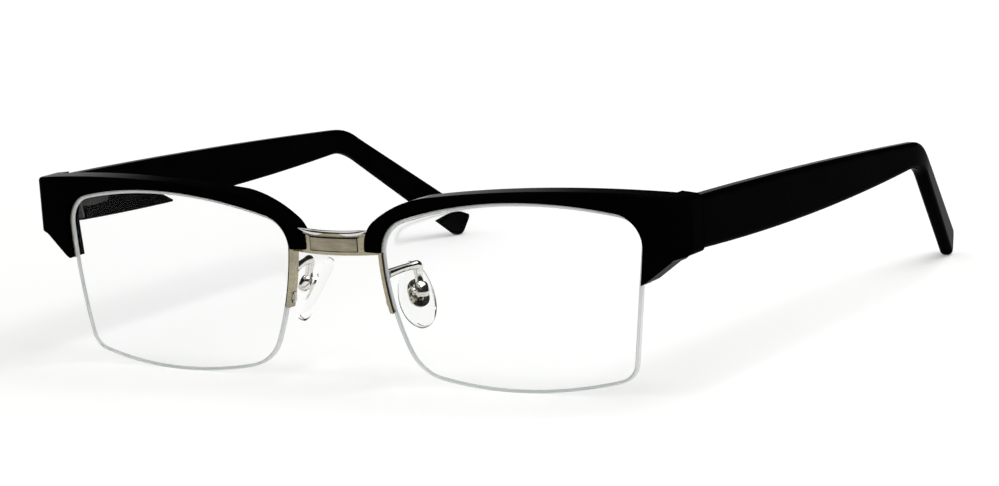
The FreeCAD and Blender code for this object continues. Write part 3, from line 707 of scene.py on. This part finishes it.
@dataclass(frozen=True)
class LensShape:
    """The outline and the curve of a lens, as the drawing has them."""

    width: float = 52.0
    height: float = 34.2
    gap: float = 21.1
    thickness: float = 1.6
    radius: float = 140.0
    wrap_inset: float = 5.8
    tilt_rise: float = 3.5
    corner_offsets: Profile = ((0.8, -2.8), (-0.3, -5.4), (6.0, 2.3), (-2.8, 3.0))
    corner_rounds: tuple[float, ...] = (5.5, 6.5, 9.0, 4.2)
    side_curves: tuple[float, ...] = (87.0, 50.0, 89.0, 300.0)
    step: float = 0.55
    least_steps: int = 6

    @property
    def centre(self) -> Vector:
        """The middle of the lens in the front view."""
        return Vector((self.gap / 2 + self.width / 2, self.height / 2))

    def on_face(self, place: Vector, depth: float) -> Point:
        """The point of a lens at a place of its front view.

        Args:
            place: The place in the front view.
            depth: How far behind the front face the point lies.

        Returns:
            The point in the drawing.
        """
        across = place.x - self.centre.x + self.wrap_inset
        above = place.y - self.centre.y - self.tilt_rise
        reach = math.sqrt((self.radius - depth) ** 2 - across ** 2 - above ** 2)
        return place.x, self.radius - reach, place.y

    def nasal(self, place: Vector) -> bool:
        """Whether a place of the front view lies on the nasal side of the middle."""
        return place.x < self.centre.x

    def arcs(self) -> list[Arc]:
        """The outline as arcs.

        Returns:
            Centre, radius, first angle and sweep of each arc, round from the upper temporal corner.
        """
        low, high = Vector((self.gap / 2, 0)), Vector((self.gap / 2 + self.width, self.height))
        boxed = (high, Vector((low.x, high.y)), low, Vector((high.x, low.y)))
        corners = [corner + Vector(offset) for corner, offset in zip(boxed, self.corner_offsets)]
        sides = []
        for start, end, curve in zip(corners, corners[1:] + corners[:1], self.side_curves):
            chord = end - start
            left = Vector((-chord.y, chord.x)).normalized()
            reach = math.sqrt(curve ** 2 - chord.length_squared / 4)
            sides.append(((start + end) / 2 + left * reach, curve))
        small = [self.rounding(sides[number - 1], sides[number], corner, self.corner_rounds[number])
                 for number, corner in enumerate(corners)]
        made = []
        for number, (centre, curve) in enumerate(sides):
            here, after = small[number], small[(number + 1) % len(small)]
            before = sides[number - 1][0]
            made.append(self.arc(here, self.corner_rounds[number], here - before, here - centre))
            made.append(self.arc(centre, curve, here - centre, after - centre))
        return made

    @staticmethod
    def rounding(first: tuple[Vector, float], second: tuple[Vector, float], corner: Vector,
                 radius: float) -> Vector:
        """Find the small arc that touches two side arcs from inside, near their corner.

        Args:
            first: Centre and radius of the side before the corner.
            second: Centre and radius of the side after it.
            corner: The corner.
            radius: The small arc's radius.

        Returns:
            The small arc's centre.
        """
        between = second[0] - first[0]
        reach_a, reach_b = first[1] - radius, second[1] - radius
        along = (reach_a ** 2 - reach_b ** 2 + between.length_squared) / (2 * between.length)
        aside = math.sqrt(reach_a ** 2 - along ** 2)
        ahead = between.normalized()
        beside = Vector((-ahead.y, ahead.x))
        places = [first[0] + ahead * along + beside * way for way in (-aside, aside)]
        return min(places, key=lambda place: (place - corner).length)

    @staticmethod
    def arc(centre: Vector, radius: float, first: Vector, last: Vector) -> Arc:
        """An arc that turns left.

        Args:
            centre: Its centre.
            radius: Its radius.
            first: The direction that it starts in.
            last: The direction that it ends in.

        Returns:
            Centre, radius, first angle and sweep.
        """
        start = math.atan2(first.y, first.x)
        sweep = (math.atan2(last.y, last.x) - start) % math.tau
        return centre, radius, start, sweep

    def outline(self, offset: float) -> list[tuple[Vector, Vector]]:
        """The outline moved outwards.

        Args:
            offset: How far it is moved.

        Returns:
            Points and outward directions in the front view.
        """
        found = []
        for centre, radius, start, sweep in self.arcs():
            count = max(self.least_steps, round(radius * sweep / self.step))
            for number in range(count):
                angle = start + sweep * number / count
                way = Vector((math.cos(angle), math.sin(angle)))
                found.append((centre + way * (radius + offset), way))
        return found


@dataclass
class LensWork:
    """The two lenses with their ground edges, the liners above them and the nylon cords below."""

    dresser: Dresser
    wires: WireMaker
    shape: LensShape = LensShape()
    rings: int = 12
    edge_profile: Profile = (
        (-0.14, 0.0), (-0.04, 0.04), (0.0, 0.14), (0.0, 0.5), (-0.34, 0.52), (-0.6, 0.8), (-0.34, 1.08),
        (0.0, 1.1), (0.0, 1.46), (-0.04, 1.56), (-0.14, 1.6))
    lens_sharp: float = 50.0
    liner_profile: Profile = ((0.06, 0.3), (0.5, 0.3), (0.5, 1.3), (0.06, 1.3))
    lip_profile: Profile = ((0.16, -0.34), (1.3, -0.34), (1.3, -0.08), (0.16, -0.08))
    lip_ends: tuple[float, float] = (24.3, 21.2)
    band_sharp: float = 40.0
    cord_radius: float = 0.28
    cord_offset: float = -0.33
    cord_steps: int = 240
    rim_ends: tuple[float, float] = (13.6, 20.8)
    # How high, and over how many edge rows, the painted shade of the nasal channel reaches.
    seat_shade_top: float = 24.4
    seat_shade_rows: int = 3

    def build(self) -> None:
        """Make the pieces of both sides."""
        for side in Side:
            self.make_lens(side)
            self.make_band(f"nylon_liner_{side.word}", side, self.liner_profile, self.rim_ends, NYLON,
                           [f"rim_liner_{side.word}"])
            self.make_band(f"brow_lip_{side.word}", side, self.lip_profile, self.lip_ends, ACETATE)
            self.make_cord(side)

    def row(self, side: Side, offset: float, depth: float, share: float = 1.0) -> list[Vector]:
        """One closed row of corners round the lens.

        Args:
            side: The wearer's side.
            offset: How far the outline is moved outwards.
            depth: How far behind the front face it lies.
            share: How large the row is, as a share of the outline.

        Returns:
            The corners, in metres.
        """
        middle = self.shape.centre
        places = [middle + (point - middle) * share for point, _ in self.shape.outline(offset)]
        return [side.place(self.shape.on_face(place, depth)) for place in places]

    def make_lens(self, side: Side) -> None:
        """Make a curved lens with eased, ground edges and a groove; where its edge sits in the rim bar's
        nasal channel, that edge is painted dark as shade.

        Args:
            side: The wearer's side.
        """
        first, last = self.edge_profile[0], self.edge_profile[-1]
        shares = [(number + 1) / self.rings for number in range(self.rings)]
        rows = [self.row(side, *first, share) for share in shares]
        rows += [self.row(side, *section) for section in self.edge_profile[1:-1]]
        rows += [self.row(side, *last, share) for share in reversed(shares)]
        points = [point for row in rows for point in row]
        count = len(rows[0])
        middles = [side.place(self.shape.on_face(self.shape.centre, depth)) for _, depth in (first, last)]
        faces = capped(points, count, *middles)
        seat_shade_row = [LensFace.SEAT_SHADE if self.in_seat_shade(point) else LensFace.EDGE
                    for point, _ in self.shape.outline(0)]
        open_rows = len(self.edge_profile) - 1 - self.seat_shade_rows
        edge = seat_shade_row * self.seat_shade_rows + [LensFace.EDGE] * (count * open_rows)
        numbers = [LensFace.CLEAR] * len(faces)
        edge_start = (self.rings - 1) * count
        numbers[edge_start:edge_start + len(edge)] = edge
        piece = closed_piece(f"lens_blank_{side.word}", points, faces, self.lens_sharp, numbers)
        self.dresser.add(piece, FRONT, LENS, LENS_EDGE, SHADED_SEAT_EDGE, replaced=[f"lens_{side.word}"])

    def in_seat_shade(self, point: Vector) -> bool:
        """Whether a point of the outline lies where the lens edge is painted dark, as the shade of the rim
        bar's nasal channel.
        """
        return self.shape.nasal(point) and self.rim_ends[0] < point.y < self.seat_shade_top

    def below(self, point: Vector, ends: tuple[float, float]) -> bool:
        """Whether a point of the outline lies lower than the end on its own side."""
        return point.y < ends[0 if self.shape.nasal(point) else 1]

    def make_band(self, name: str, side: Side, profile: Profile, ends: tuple[float, float], finish: Finish,
                  replaced: Sequence[str] = ()) -> None:
        """Make a band along the top of the lens and part of the way down its two sides.

        Args:
            name: The piece's name.
            side: The wearer's side.
            profile: Its section, as offsets from the outline and depths behind the lens's front face.
            ends: How low it reaches on the nasal and on the temporal side.
            finish: Its finish.
            replaced: The nodes that it stands for.
        """
        outline = self.shape.outline(0)
        kept = [number for number, (point, _) in enumerate(outline) if not self.below(point, ends)]
        start = next(number for number in kept if number - 1 not in kept and number > 0)
        order = [(start + step) % len(outline) for step in range(len(kept))]
        rows = [self.row(side, *section) for section in profile]
        points = [row[number] for number in order for row in rows]
        piece = closed_piece(name, points, barred(len(order), len(rows)), self.band_sharp)
        self.dresser.add(piece, FRONT, finish, replaced=replaced)

    def make_cord(self, side: Side) -> None:
        """Draw the taut nylon cord in the groove, from the nasal end of the rim bar to the temporal end.

        Args:
            side: The wearer's side.
        """
        half = self.shape.thickness / 2
        points = [side.place(self.shape.on_face(point, half))
                  for point, _ in self.shape.outline(self.cord_offset) if self.below(point, self.rim_ends)]
        self.wires.draw(f"nylon_cord_{side.word}", points, self.cord_radius, NYLON, self.cord_steps,
                        replaced=[f"rim_cord_{side.word}"])


@dataclass
class RimEnds:
    """The two drilled holes and the nylon loop where the cord goes through a rim bar's nasal end."""

    wires: WireMaker
    studs: StudMaker
    shape: LensShape = LensShape()
    face_offset: float = 0.92
    heights: tuple[float, float] = (14.45, 16.1)
    hole_radius: float = 0.34
    hole_depth: float = 0.08
    loop_radius: float = 0.2
    loop_root: float = -0.2
    loop_shoulder: float = 0.434
    loop_reach: float = 0.62
    loop_steps: int = 32

    def build(self) -> None:
        """Make the holes, as studs painted dark for the shade in them, and the loops of both sides."""
        for side in Side:
            places = [self.on_bar(height) for height in self.heights]
            middles = [side.place(point) for point, _ in places]
            ways = [side.turn(way) for _, way in places]
            # The holes are shallow dark studs: painted shade of the drilled holes.
            self.studs.place(f"cord_holes_{side.word}", middles, ways, self.hole_radius, self.hole_depth,
                             SHADE_BLACK)
            low, high = [[middle + way * reach * MM for reach in (self.loop_root, self.loop_shoulder)]
                         for middle, way in zip(middles, ways)]
            crown = (middles[0] + middles[1]) / 2 + ways[0] * self.loop_reach * MM
            self.wires.draw(f"cord_loop_{side.word}", [*low, crown, *reversed(high)], self.loop_radius,
                            NYLON, self.loop_steps)

    def on_bar(self, height: float) -> tuple[Point, Point]:
        """Find a point of the rim bar's nasal face.

        Args:
            height: Its height.

        Returns:
            The point in the drawing, and the direction that the face has there.
        """
        nasal = [item for item in self.shape.outline(self.face_offset) if self.shape.nasal(item[0])]
        point, way = min(nasal, key=lambda item: abs(item[0].y - height))
        return self.shape.on_face(point, self.shape.thickness / 2), (way.x, 0.0, way.y)


@dataclass(frozen=True)
class Plate:
    """A thin plate on the bridge, with its edges and how far its face lies behind the bridge's."""

    name: str
    finish: Finish
    half_width: float
    low: float
    high: float
    depth: float


@dataclass
class BridgeTrim:
    """The polished bead along the top of the bridge, and the brushed panel in its frame."""

    dresser: Dresser
    wires: WireMaker
    bow_radius: float = 21.296
    bow_centre: float = 21.946
    bead_radius: float = 0.6
    bead_path: tuple[Point, ...] = ((0.0, 0.93, 27.62), (3.0, 1.14, 27.64), (5.0, 1.42, 27.74),
                                    (6.3, 1.36, 28.0), (7.6, 1.16, 28.4))
    bead_scales: tuple[float, ...] = (1.0, 1.0, 0.95, 0.7, 0.1)
    bead_steps: int = 96
    groove_height: float = 27.0
    groove_reach: float = 5.6
    groove_lead: float = 0.1
    groove_radius: float = 0.13
    groove_steps: int = 64
    # The first plate is painted shade: a near-black sheet behind the panel, so that the gap round the panel
    # shows dark.
    plates: tuple[Plate, ...] = (Plate("bridge_panel_shade", SHADE_BLACK, 5.28, 24.3, 26.92, -0.02),
                                 Plate("bridge_panel_plate", DARK_NICKEL, 5.1, 24.46, 26.76, -0.05))
    plate_thickness: float = 0.5
    plate_sharp: float = 30.0
    steps: int = 28

    def build(self) -> None:
        """Make the bead, the dark line of painted shadow under it, a dark plate of painted shade behind the
        panel, and the panel.
        """
        ends = [(-x, y, z) for x, y, z in reversed(self.bead_path[1:])]
        scales = [*reversed(self.bead_scales[1:]), *self.bead_scales]
        bead = [Side.LEFT.place(point) for point in (*ends, *self.bead_path)]
        self.wires.draw("bridge_bead_wire", bead, self.bead_radius, CHROME, self.bead_steps, scales)
        # A thin dark wire: painted shade of the groove under the bead.
        groove = [self.on_bow(x, self.groove_height, self.groove_lead)
                  for x in self.across(self.groove_reach)]
        self.wires.draw("bridge_shadow_groove", groove, self.groove_radius, SHADE_BLACK, self.groove_steps)
        for plate in self.plates:
            self.make_plate(plate)

    def across(self, half_width: float) -> list[float]:
        """Even steps across the bridge from one side to the other."""
        return [half_width * (2 * step / self.steps - 1) for step in range(self.steps + 1)]

    def on_bow(self, x: float, z: float, depth: float) -> Vector:
        """A point so far behind the bridge's front face, in metres."""
        y = self.bow_centre - math.sqrt((self.bow_radius - depth) ** 2 - x ** 2)
        return Side.LEFT.place((x, y, z))

    def make_plate(self, plate: Plate) -> None:
        """Make a thin plate that follows the bow.

        Args:
            plate: The plate.
        """
        front, back = plate.depth, plate.depth + self.plate_thickness
        corners = ((plate.low, front), (plate.high, front), (plate.high, back), (plate.low, back))
        points = [self.on_bow(x, z, depth) for x in self.across(plate.half_width) for z, depth in corners]
        faces = barred(self.steps + 1, len(corners))
        self.dresser.add(closed_piece(plate.name, points, faces, self.plate_sharp), FRONT, plate.finish)


@dataclass
class PadWork:
    """The nose pads with their bent wire arms and rounded boxes."""

    dresser: Dresser
    wires: WireMaker
    centre: Point = (12.8, 9.8, 15.9)
    lean: tuple[float, float] = (0.44, 0.37)
    turn_degrees: float = 32.0
    root: Point = (10.43, 3.0, 20.2)
    knuckle: Point = (12.0, 10.3, 20.4)
    foot_sink: float = 0.1
    # Shares of the way from root to knuckle and from knuckle to foot, each with an offset.
    arm_back: tuple[tuple[float, Point], ...] = (
        (0.0, (0.0, 0.0, 0.0)), (0.4, (0.0, 0.0, 0.3)), (1.0, (-0.2, -1.4, 0.25)), (1.0, (0.1, 0.2, 0.2)))
    arm_down: tuple[tuple[float, Point], ...] = (
        (0.3, (0.0, 0.2, 0.0)), (0.7, (0.0, 0.0, 0.0)), (1.0, (0.0, 0.0, 0.0)))
    arm_radius: float = 0.7
    arm_scales: tuple[float, ...] = (1.25, 1.0, 1.0, 1.45, 1.25, 1.0, 1.2)
    arm_steps: int = 72
    box_middle: Point = (-0.32, 0.0, 0.1)
    box_half: Point = (1.15, 1.42, 1.6)
    box_roundness: float = 0.72
    box_steps: int = 32
    slot_low: Point = (-0.75, -0.78, -3.0)
    slot_high: Point = (3.0, 0.78, 0.9)
    slot_sharp: float = 50.0
    pad_length: float = 13.0
    pad_width: float = 6.7
    pad_taper: float = 0.14
    pad_steps: int = 72
    pad_profile: Profile = (
        (0.2, 1.2), (0.5, 1.2), (0.8, 1.16), (0.92, 1.18), (0.975, 1.32), (1.0, 1.6), (1.0, 2.2),
        (0.99, 2.55), (0.955, 2.85), (0.88, 3.1), (0.74, 3.3), (0.5, 3.44), (0.25, 3.5), (0.08, 3.52))
    round_sharp: float = 60.0

    def __post_init__(self) -> None:
        """Work out the pad's own axes: through it towards the nose, across it and up along it."""
        self.up = Vector((-self.lean[0], self.lean[1], 1)).normalized()
        angle = math.radians(self.turn_degrees)
        level = Vector((-math.cos(angle), math.sin(angle), 0))
        self.inward = (level - self.up * level.dot(self.up)).normalized()
        self.across = self.up.cross(self.inward)

    def build(self) -> None:
        """Make the pieces of both sides."""
        for side in Side:
            self.make_arm(side)
            self.make_box(side)
            self.make_pad(side)

    def at(self, point: Sequence[float]) -> Vector:
        """A point of the pad's own axes, in the drawing."""
        return Vector(self.centre) + self.inward * point[0] + self.across * point[1] + self.up * point[2]

    def make_arm(self, side: Side) -> None:
        """Draw the polished wire from the rim bar back to its knuckle and down to the box.

        Args:
            side: The wearer's side.
        """
        root, knuckle = Vector(self.root), Vector(self.knuckle)
        foot = self.at((self.box_middle[0], 0, self.box_half[2] - self.foot_sink))
        path = [root.lerp(knuckle, share) + Vector(offset) for share, offset in self.arm_back]
        path += [knuckle.lerp(foot, share) + Vector(offset) for share, offset in self.arm_down]
        self.wires.draw(f"arm_wire_{side.word}", [side.place(point) for point in path], self.arm_radius,
                        CHROME, self.arm_steps, self.arm_scales, [f"pad_arm_{side.word}"])

    def make_box(self, side: Side) -> None:
        """Make a rounded box with an open slot for the lug of the pad's plate.

        Args:
            side: The wearer's side.
        """
        rounded = closed_piece(f"arm_box_{side.word}", *self.pillow(side), self.round_sharp)
        low, high = Vector(self.slot_low), Vector(self.slot_high)
        flat = ((low.x, low.y), (high.x, low.y), (high.x, high.y), (low.x, high.y))
        corners = [side.place(self.at((x, y, z))) for z in (low.z, high.z) for x, y in flat]
        cutter = closed_piece("slot_cutter", corners, barred(2, len(flat)), self.slot_sharp)
        slotted = rounded.modifiers.new("slot", "BOOLEAN")
        slotted.operation = "DIFFERENCE"
        slotted.solver = "EXACT"
        slotted.object = cutter
        mesh = plain_mesh(rounded)
        rounded.modifiers.remove(slotted)
        rounded.data = mesh
        bpy.data.objects.remove(cutter)
        mesh.set_sharp_from_angle(angle=math.radians(self.slot_sharp))
        self.dresser.add(rounded, FRONT, PLATED, replaced=[f"pad_box_{side.word}"])

    def pillow(self, side: Side) -> tuple[list[Vector], Faces]:
        """Work out a block with softly rounded edges.

        Args:
            side: The wearer's side.

        Returns:
            Its corners, in metres, and its faces.
        """
        middle, half = Vector(self.box_middle), self.box_half
        points = []
        rows = self.box_steps // 2
        for row in range(1, rows):
            rise = math.pi * (row / rows - 0.5)
            width = self.swell(math.cos(rise))
            for step in range(self.box_steps):
                way = math.tau * step / self.box_steps
                offset = Vector((half[0] * width * self.swell(math.cos(way)),
                                 half[1] * width * self.swell(math.sin(way)),
                                 half[2] * self.swell(math.sin(rise))))
                points.append(side.place(self.at(middle + offset)))
        ends = [side.place(self.at(middle + Vector((0, 0, level)))) for level in (-half[2], half[2])]
        return points, capped(points, self.box_steps, *ends)

    def swell(self, value: float) -> float:
        """A sine or cosine made larger between 0 and 1, which squares a ball towards a block."""
        return math.copysign(abs(value) ** self.box_roundness, value)

    def make_pad(self, side: Side) -> None:
        """Make a clear pad with a crowned face, a little narrower at its top.

        Args:
            side: The wearer's side.
        """
        points = []
        for share, depth in self.pad_profile:
            for step in range(self.pad_steps):
                way = math.tau * step / self.pad_steps
                across = self.pad_width / 2 * math.cos(way) * (1 - self.pad_taper * math.sin(way))
                along = self.pad_length / 2 * math.sin(way)
                points.append(side.place(self.at((depth, across * share, along * share))))
        ends = [side.place(self.at((self.pad_profile[number][1], 0, 0))) for number in (0, -1)]
        faces = capped(points, self.pad_steps, *ends)
        piece = closed_piece(f"crowned_pad_{side.word}", points, faces, self.round_sharp)
        self.dresser.add(piece, f"{side.word}_pad", PAD, replaced=[f"nose_pad_{side.word}"])


@dataclass
class SolidPieces:
    """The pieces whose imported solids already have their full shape."""

    nodes: dict[str, bpy.types.Object]
    finishes: tuple[tuple[str, Finish], ...] = (
        ("rim_bar", NICKEL), ("hinge_front", GUNMETAL), ("leaf_screw", STEEL), ("tab_screw", STEEL),
        ("brow", ACETATE), ("pad_plate", PLATED), ("pad_screw", CHROME), ("hinge_temple", GUNMETAL),
        ("hinge_screw", STEEL), ("core_wire", STEEL), ("temple", ACETATE))

    def dress(self, dresser: Dresser) -> None:
        """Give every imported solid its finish.

        Args:
            dresser: The built materials.
        """
        for name, finish in self.finishes:
            for side in Side:
                dresser.dress(self.nodes[f"{name}_{side.word}"], finish)
        dresser.dress(self.nodes["bridge"], NICKEL)


@dataclass(frozen=True)
class Lamp:
    """A lamp that points at the glasses: its place and sizes in metres, and its power in watts."""

    name: str
    place: Point
    width: float
    depth: float
    power: float
    glint_only: bool = False


@dataclass
class Stage:
    """White floor, soft light and the camera of the photograph."""

    target: Point = (36.349, -69.974, 27.462)
    azimuth: float = 31.962
    elevation: float = 10.162
    distance: float = 560.93
    roll: float = -3.865
    focal_pixels: float = 3191.15
    image_width: float = 999.0
    sensor: float = 36.0
    clip_range: tuple[float, float] = (0.01, 20.0)
    floor_size: float = 6.0
    floor_colour: Colour = (0.93, 0.93, 0.925)
    floor_shade: Colour = (0.91, 0.91, 0.9)
    floor_cloud: float = 3.0
    lift_range: tuple[float, float] = (0.1, 0.5)
    lift: tuple[float, float] = (0.22, 0.46)
    ambient: float = 0.6
    room_dark: float = 0.02
    # Heights of a direction: the backdrop fades out and the ceiling fades in.
    backdrop_fade: tuple[float, float] = (0.2, 0.1)
    ceiling_fade: tuple[float, float] = (0.68, 0.8)
    # Diffuse bounces are whole numbers, so a ray below this has had none.
    first_bounce: float = 0.5
    lamps: tuple[Lamp, ...] = (Lamp("softbox", (0.26, 0.02, 0.56), 0.5, 0.4, 1.6),
                               Lamp("glint_lamp", (-0.05, -0.12, 0.62), 0.06, 0.012, 0.6, True))

    def build(self) -> None:
        """Make the floor, the world, the lamps and the camera."""
        self.make_floor()
        self.make_world()
        self.make_lamps()
        self.make_camera()

    def make_floor(self) -> None:
        """Lay a wide white floor under the glasses."""
        mesh = bpy.data.meshes.new("floor")
        half = self.floor_size / 2
        corners = [(-half, -half, 0), (half, -half, 0), (half, half, 0), (-half, half, 0)]
        mesh.from_pydata(corners, [], [(0, 1, 2, 3)])
        floor = linked("floor", mesh)
        material = bpy.data.materials.new("white_floor")
        tree = emptied(material)
        place = tree.add("ShaderNodeTexCoord").outputs["Object"]
        cloud = tree.add("ShaderNodeTexNoise", {"Vector": place, "Scale": self.floor_cloud})
        tone = tree.tone(cloud.outputs[0], (*self.floor_colour, 1), (*self.floor_shade, 1))
        lit = tree.add("ShaderNodeBsdfDiffuse", {"Color": tone})
        reach = tree.add("ShaderNodeVectorMath", {0: place}, operation="LENGTH")
        lift = tree.ranged(reach.outputs["Value"], self.lift_range, self.lift)
        path = tree.add("ShaderNodeLightPath").outputs
        mirrored = tree.math("MAXIMUM", path["Is Camera Ray"], path["Is Glossy Ray"])
        shown = tree.math("MAXIMUM", mirrored, path["Is Transmission Ray"])
        strength = tree.math("MULTIPLY", shown, lift)
        lifted = tree.add("ShaderNodeEmission", {"Color": tone, "Strength": strength})
        both = tree.add("ShaderNodeAddShader", {0: lit.outputs[0], 1: lifted.outputs[0]})
        tree.add("ShaderNodeOutputMaterial", {0: both.outputs[0]})
        mesh.materials.append(material)

    def make_world(self) -> None:
        """Fill the room with soft light; mirrors and clear pieces show a white backdrop and ceiling."""
        world = bpy.data.worlds.new("studio")
        bpy.context.scene.world = world
        tree = emptied(world)
        place = tree.add("ShaderNodeTexCoord")
        height = tree.add("ShaderNodeSeparateXYZ", {0: place.outputs["Generated"]}).outputs["Z"]
        backdrop = tree.ranged(height, self.backdrop_fade, curve="SMOOTHSTEP")
        ceiling = tree.ranged(height, self.ceiling_fade, curve="SMOOTHSTEP")
        level = tree.ranged(tree.math("MAXIMUM", backdrop, ceiling), wanted=(self.room_dark, 1.0))
        path = tree.add("ShaderNodeLightPath").outputs
        mirrored = tree.math("MAXIMUM", path["Is Glossy Ray"], path["Is Transmission Ray"])
        direct = tree.math("LESS_THAN", path["Diffuse Depth"], self.first_bounce)
        shown = tree.math("MULTIPLY", mirrored, direct)
        soft, room, seen = [tree.add("ShaderNodeBackground", {"Color": WHITE, "Strength": strength})
                            for strength in (self.ambient, level, 1.0)]
        inside = tree.add("ShaderNodeMixShader", {0: shown, 1: soft.outputs[0], 2: room.outputs[0]})
        mixed = tree.add("ShaderNodeMixShader", {
            0: path["Is Camera Ray"], 1: inside.outputs[0], 2: seen.outputs[0]})
        tree.add("ShaderNodeOutputWorld", {0: mixed.outputs[0]})

    def make_lamps(self) -> None:
        """Hang a wide soft lamp over the glasses, and a small one in front for the glints."""
        for lamp in self.lamps:
            data = bpy.data.lights.new(lamp.name, "AREA")
            data.shape = "RECTANGLE"
            data.size = lamp.width
            data.size_y = lamp.depth
            data.energy = lamp.power
            holder = linked(lamp.name, data)
            holder.location = lamp.place
            holder.rotation_mode = "QUATERNION"
            holder.rotation_quaternion = (-holder.location).to_track_quat("-Z", "Y")
            holder.visible_diffuse = not lamp.glint_only

    def make_camera(self) -> None:
        """Set the camera where the photograph was taken from."""
        turn = math.radians(self.azimuth)
        rise = math.radians(self.elevation)
        back = Vector((math.sin(turn) * math.cos(rise), -math.cos(turn) * math.cos(rise), math.sin(rise)))
        right = Vector((math.cos(turn), math.sin(turn), 0))
        level = Matrix((right, back.cross(right), back)).transposed().to_quaternion()
        data = bpy.data.cameras.new("camera")
        data.sensor_width = self.sensor
        data.lens = self.focal_pixels / self.image_width * self.sensor
        data.clip_start, data.clip_end = self.clip_range
        camera = linked("camera", data)
        camera.location = (Vector(self.target) + back * self.distance) * MM
        camera.rotation_mode = "QUATERNION"
        camera.rotation_quaternion = level @ Quaternion((0, 0, 1), math.radians(self.roll))
        bpy.context.scene.camera = camera


def main() -> None:
    """Set the stage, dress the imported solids, and add the fine pieces."""
    logging.basicConfig(level=logging.INFO, format="%(name)s: %(message)s")
    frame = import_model()
    bpy.context.scene.view_settings.view_transform = "Standard"
    Stage().build()
    dresser = Dresser()
    wires = WireMaker(dresser)
    SolidPieces(frame["nodes"]).dress(dresser)
    LensWork(dresser, wires).build()
    RimEnds(wires, StudMaker(dresser)).build()
    BridgeTrim(dresser, wires).build()
    PadWork(dresser, wires).build()


if __name__ == "__main__":
    main()
